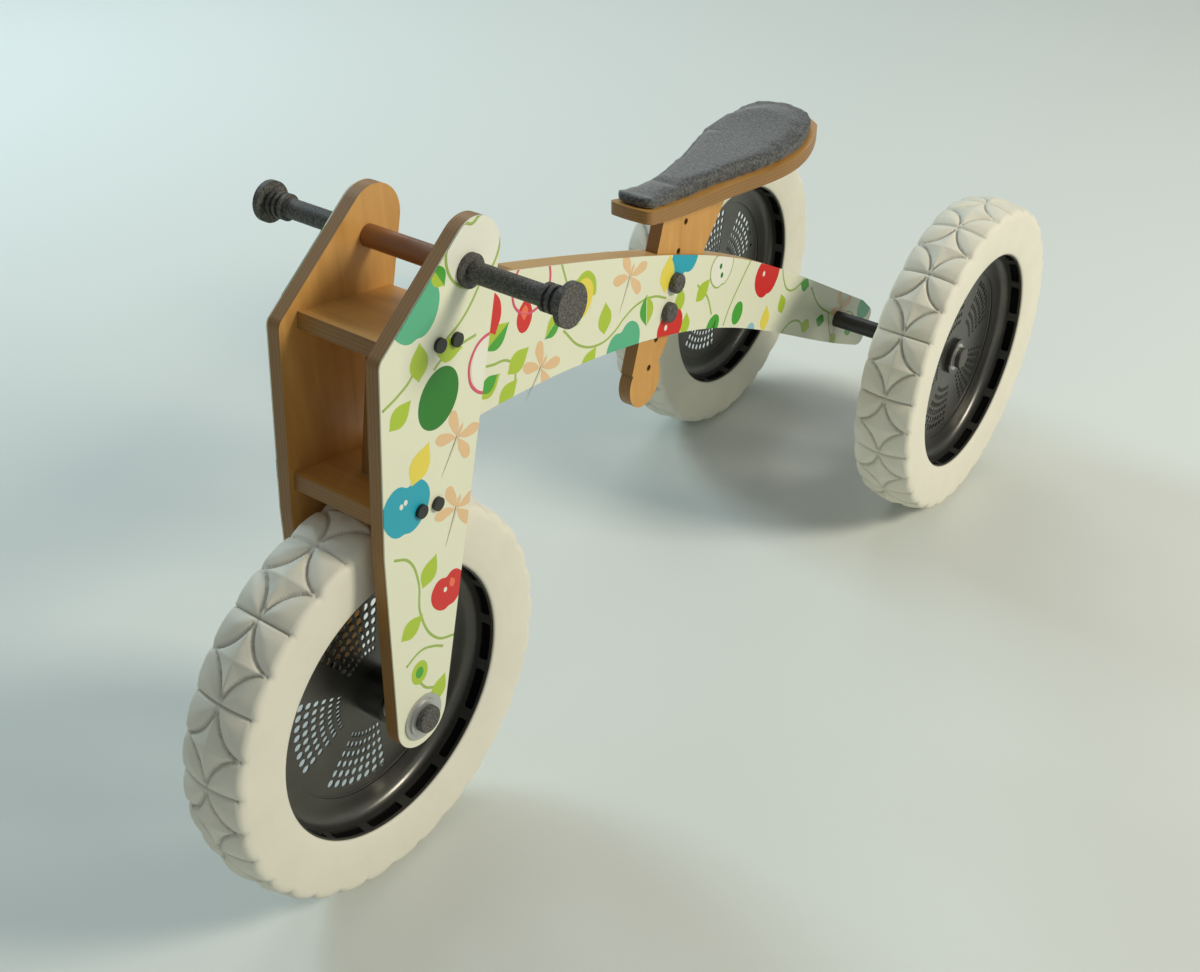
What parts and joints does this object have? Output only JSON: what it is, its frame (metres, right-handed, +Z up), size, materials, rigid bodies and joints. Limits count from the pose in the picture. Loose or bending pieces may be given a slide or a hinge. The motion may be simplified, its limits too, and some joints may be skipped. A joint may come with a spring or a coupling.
{
  "type": "child's wooden tricycle",
  "caption": "Foot-propelled plywood tricycle with patterned laminate faces, raked steering fork, felt saddle on a sliding post and cream pneumatic tyres.",
  "frame": {"origin": "on the ground, midway between the axles and between the rear wheels", "axes": "+Y towards the back, +X to the rider's left, +Z up"},
  "size_m": [0.323, 0.9648, 0.4914],
  "materials": {
    "ply": "satin",
    "print": "semi-gloss",
    "bar_wood": "satin",
    "dark_plastic": "matte",
    "tyre_cream": "matte",
    "band_rubber": "matte",
    "rim_grey": "satin",
    "steel": "satin",
    "dark_steel": "satin",
    "bronze": "satin",
    "felt": "matte"
  },
  "bodies": {
    "frame": {"beam_cheek_left": "ply", "beam_cheek_right": "ply", "beam_core_front": "ply", "beam_core_rear": "ply", "beam_print_left": "print", "beam_print_right": "print", "head_block": "ply", "king_pin": "steel", "rear_axle": "steel", "rear_axle_caps": "dark_plastic", "rear_axle_nuts": "steel", "rear_axle_sleeves": "dark_steel", "rear_axle_washers": "steel", "seat_clamp_bolts": "steel", "seat_clamp_caps": "dark_plastic", "seat_clamp_nuts": "steel"},
    "fork": {"fork_plate_left": "ply", "fork_plate_right": "ply", "fork_print_left": "print", "fork_print_right": "print", "fork_shelf_lower": "ply", "fork_shelf_upper": "ply", "front_axle": "steel", "front_axle_caps": "dark_plastic", "front_axle_nuts": "steel", "front_axle_washers": "steel", "front_hub_spacers": "dark_steel", "grip_left": "dark_plastic", "grip_right": "dark_plastic", "handlebar": "bar_wood", "handlebar_rod": "steel", "shelf_barrel_nuts": "steel", "shelf_bolts": "dark_steel", "steering_bushes": "bronze", "steering_washers": "steel"},
    "front_wheel": {"front_bearings": "steel", "front_hub": "rim_grey", "front_rim": "rim_grey", "front_rim_band": "band_rubber", "front_tyre": "tyre_cream"},
    "rear_wheel_left": {"rear_left_bearings": "steel", "rear_left_hub": "rim_grey", "rear_left_rim": "rim_grey", "rear_left_rim_band": "band_rubber", "rear_left_tyre": "tyre_cream"},
    "rear_wheel_right": {"rear_right_bearings": "steel", "rear_right_hub": "rim_grey", "rear_right_rim": "rim_grey", "rear_right_rim_band": "band_rubber", "rear_right_tyre": "tyre_cream"},
    "seat": {"seat_board": "ply", "seat_pad": "felt", "seat_post": "ply", "seat_screws": "steel"}
  },
  "joints": [
    {"name": "steering", "type": "hinge", "parent": "frame", "child": "fork", "pos_m": [0, -0.3298, 0.1525], "axis": [0, 0.1959, 0.9806], "range_deg": [-28, 28]},
    {"name": "front_wheel_spin", "type": "hinge", "parent": "fork", "child": "front_wheel", "pos_m": [0, -0.3298, 0.1525], "axis": [1, 0, 0], "continuous": true},
    {"name": "rear_left_spin", "type": "hinge", "parent": "frame", "child": "rear_wheel_left", "pos_m": [0.134, 0.3298, 0.1525], "axis": [1, 0, 0], "continuous": true},
    {"name": "rear_right_spin", "type": "hinge", "parent": "frame", "child": "rear_wheel_right", "pos_m": [-0.134, 0.3298, 0.1525], "axis": [1, 0, 0], "continuous": true},
    {"name": "seat_height", "type": "slide", "parent": "frame", "child": "seat", "axis": [0, 0.4099, 0.9121], "range_m": [0, 0.024]}
  ]
}
